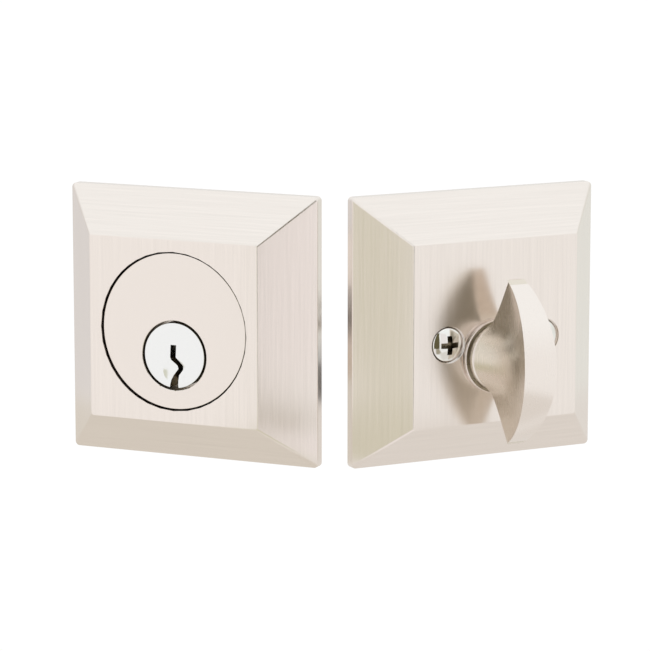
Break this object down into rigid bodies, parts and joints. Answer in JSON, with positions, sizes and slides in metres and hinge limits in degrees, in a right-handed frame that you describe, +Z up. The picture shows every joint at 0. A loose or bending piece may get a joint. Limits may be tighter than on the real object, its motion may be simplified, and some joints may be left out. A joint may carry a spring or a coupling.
{
  "type": "deadbolt door lock",
  "caption": "Deadbolt lock set: square bevelled exterior rosette with keyed cylinder, matching interior rosette with thumbturn, and the tubular latch unit with its bolt.",
  "frame": {"origin": "middle of the whole display set, on the floor under the lower edges of the rosettes", "axes": "+Z up; the set is seen from the -Y side, exterior half at -X and interior half at +X; the bolt leaves the latch along +Y"},
  "size_m": [0.1292, 0.128, 0.0667],
  "materials": {
    "satin_nickel": "satin, vertical grain",
    "bright_nickel": "polished",
    "steel": "zinc plated",
    "dark_steel": "oiled",
    "brass": "machined",
    "nylon": "matt"
  },
  "bodies": {
    "lock_set": {"exterior_rosette": "satin_nickel", "exterior_backing_plate": "steel", "cylinder_body": "satin_nickel", "chamber_plugs": "brass", "interior_rosette": "satin_nickel", "interior_support_plate": "steel", "turn_bushing": "brass", "turn_thrust_washer": "nylon", "mounting_screws": "bright_nickel", "latch_faceplate": "satin_nickel", "faceplate_backing": "steel", "latch_case_tube": "steel", "side_plate_upper": "steel", "side_plate_lower": "steel", "side_plate_rivets": "bright_nickel"},
    "key_plug": {"cylinder_plug": "bright_nickel", "plug_cap": "steel"},
    "tail": {"tailpiece": "steel"},
    "turn": {"thumbturn": "satin_nickel", "turn_retaining_ring": "dark_steel"},
    "cam_unit": {"cam": "dark_steel", "cam_drive_pin": "steel"},
    "bolt_unit": {"bolt": "bright_nickel", "bolt_insert": "dark_steel", "bolt_tail": "steel", "tail_pins": "dark_steel"},
    "driver_1": {"driver_pin_1": "brass", "pin_spring_1": "steel"},
    "keypin_1": {"key_pin_1": "brass"},
    "driver_2": {"driver_pin_2": "brass", "pin_spring_2": "steel"},
    "keypin_2": {"key_pin_2": "brass"},
    "driver_3": {"driver_pin_3": "brass", "pin_spring_3": "steel"},
    "keypin_3": {"key_pin_3": "brass"},
    "driver_4": {"driver_pin_4": "brass", "pin_spring_4": "steel"},
    "keypin_4": {"key_pin_4": "brass"},
    "driver_5": {"driver_pin_5": "brass", "pin_spring_5": "steel"},
    "keypin_5": {"key_pin_5": "brass"}
  },
  "joints": [
    {"name": "thumbturn_turn", "type": "hinge", "parent": "lock_set", "child": "turn", "pos_m": [0.03971, -0.04225, 0.02735], "axis": [0.4446, -0.8957, 0], "range_deg": [0, 90]},
    {"name": "tailpiece_turn", "type": "hinge", "parent": "lock_set", "child": "tail", "pos_m": [-0.02542, -0.01289, 0.02735], "axis": [-0.4035, -0.915, 0], "range_deg": [-90, 0]},
    {"name": "cam_turn", "type": "hinge", "parent": "lock_set", "child": "cam_unit", "pos_m": [0.03003, 0.00371, 0.0127], "axis": [0, 0, 1], "range_deg": [0, 90]},
    {"name": "bolt_throw", "type": "slide", "parent": "lock_set", "child": "bolt_unit", "axis": [0, 1, 0], "range_m": [0, 0.0254]},
    {"name": "plug_turn", "type": "hinge", "parent": "lock_set", "child": "key_plug", "pos_m": [-0.03713, -0.03942, 0.02735], "axis": [-0.4035, -0.915, 0], "range_deg": [-90, 90]},
    {"name": "driver_pin_1_lift", "type": "slide", "parent": "lock_set", "child": "driver_1", "axis": [0, 0, 1], "range_m": [0, 0.0025], "stiffness_N_per_m": 60, "springref_m": -0.004, "deforming": ["pin_spring_1"]},
    {"name": "key_pin_1_drop", "type": "slide", "parent": "key_plug", "child": "keypin_1", "axis": [0, 0, -1], "range_m": [0, 0.001]},
    {"name": "driver_pin_2_lift", "type": "slide", "parent": "lock_set", "child": "driver_2", "axis": [0, 0, 1], "range_m": [0, 0.0025], "stiffness_N_per_m": 60, "springref_m": -0.004, "deforming": ["pin_spring_2"]},
    {"name": "key_pin_2_drop", "type": "slide", "parent": "key_plug", "child": "keypin_2", "axis": [0, 0, -1], "range_m": [0, 0.001]},
    {"name": "driver_pin_3_lift", "type": "slide", "parent": "lock_set", "child": "driver_3", "axis": [0, 0, 1], "range_m": [0, 0.0025], "stiffness_N_per_m": 60, "springref_m": -0.004, "deforming": ["pin_spring_3"]},
    {"name": "key_pin_3_drop", "type": "slide", "parent": "key_plug", "child": "keypin_3", "axis": [0, 0, -1], "range_m": [0, 0.001]},
    {"name": "driver_pin_4_lift", "type": "slide", "parent": "lock_set", "child": "driver_4", "axis": [0, 0, 1], "range_m": [0, 0.0025], "stiffness_N_per_m": 60, "springref_m": -0.004, "deforming": ["pin_spring_4"]},
    {"name": "key_pin_4_drop", "type": "slide", "parent": "key_plug", "child": "keypin_4", "axis": [0, 0, -1], "range_m": [0, 0.001]},
    {"name": "driver_pin_5_lift", "type": "slide", "parent": "lock_set", "child": "driver_5", "axis": [0, 0, 1], "range_m": [0, 0.0025], "stiffness_N_per_m": 60, "springref_m": -0.004, "deforming": ["pin_spring_5"]},
    {"name": "key_pin_5_drop", "type": "slide", "parent": "key_plug", "child": "keypin_5", "axis": [0, 0, -1], "range_m": [0, 0.001]}
  ],
  "couplings": [
    {"joint": "thumbturn_turn", "follows": "bolt_throw", "rad_per_m": 61.8},
    {"joint": "tailpiece_turn", "follows": "bolt_throw", "rad_per_m": -61.8},
    {"joint": "cam_turn", "follows": "bolt_throw", "rad_per_m": 61.8}
  ]
}
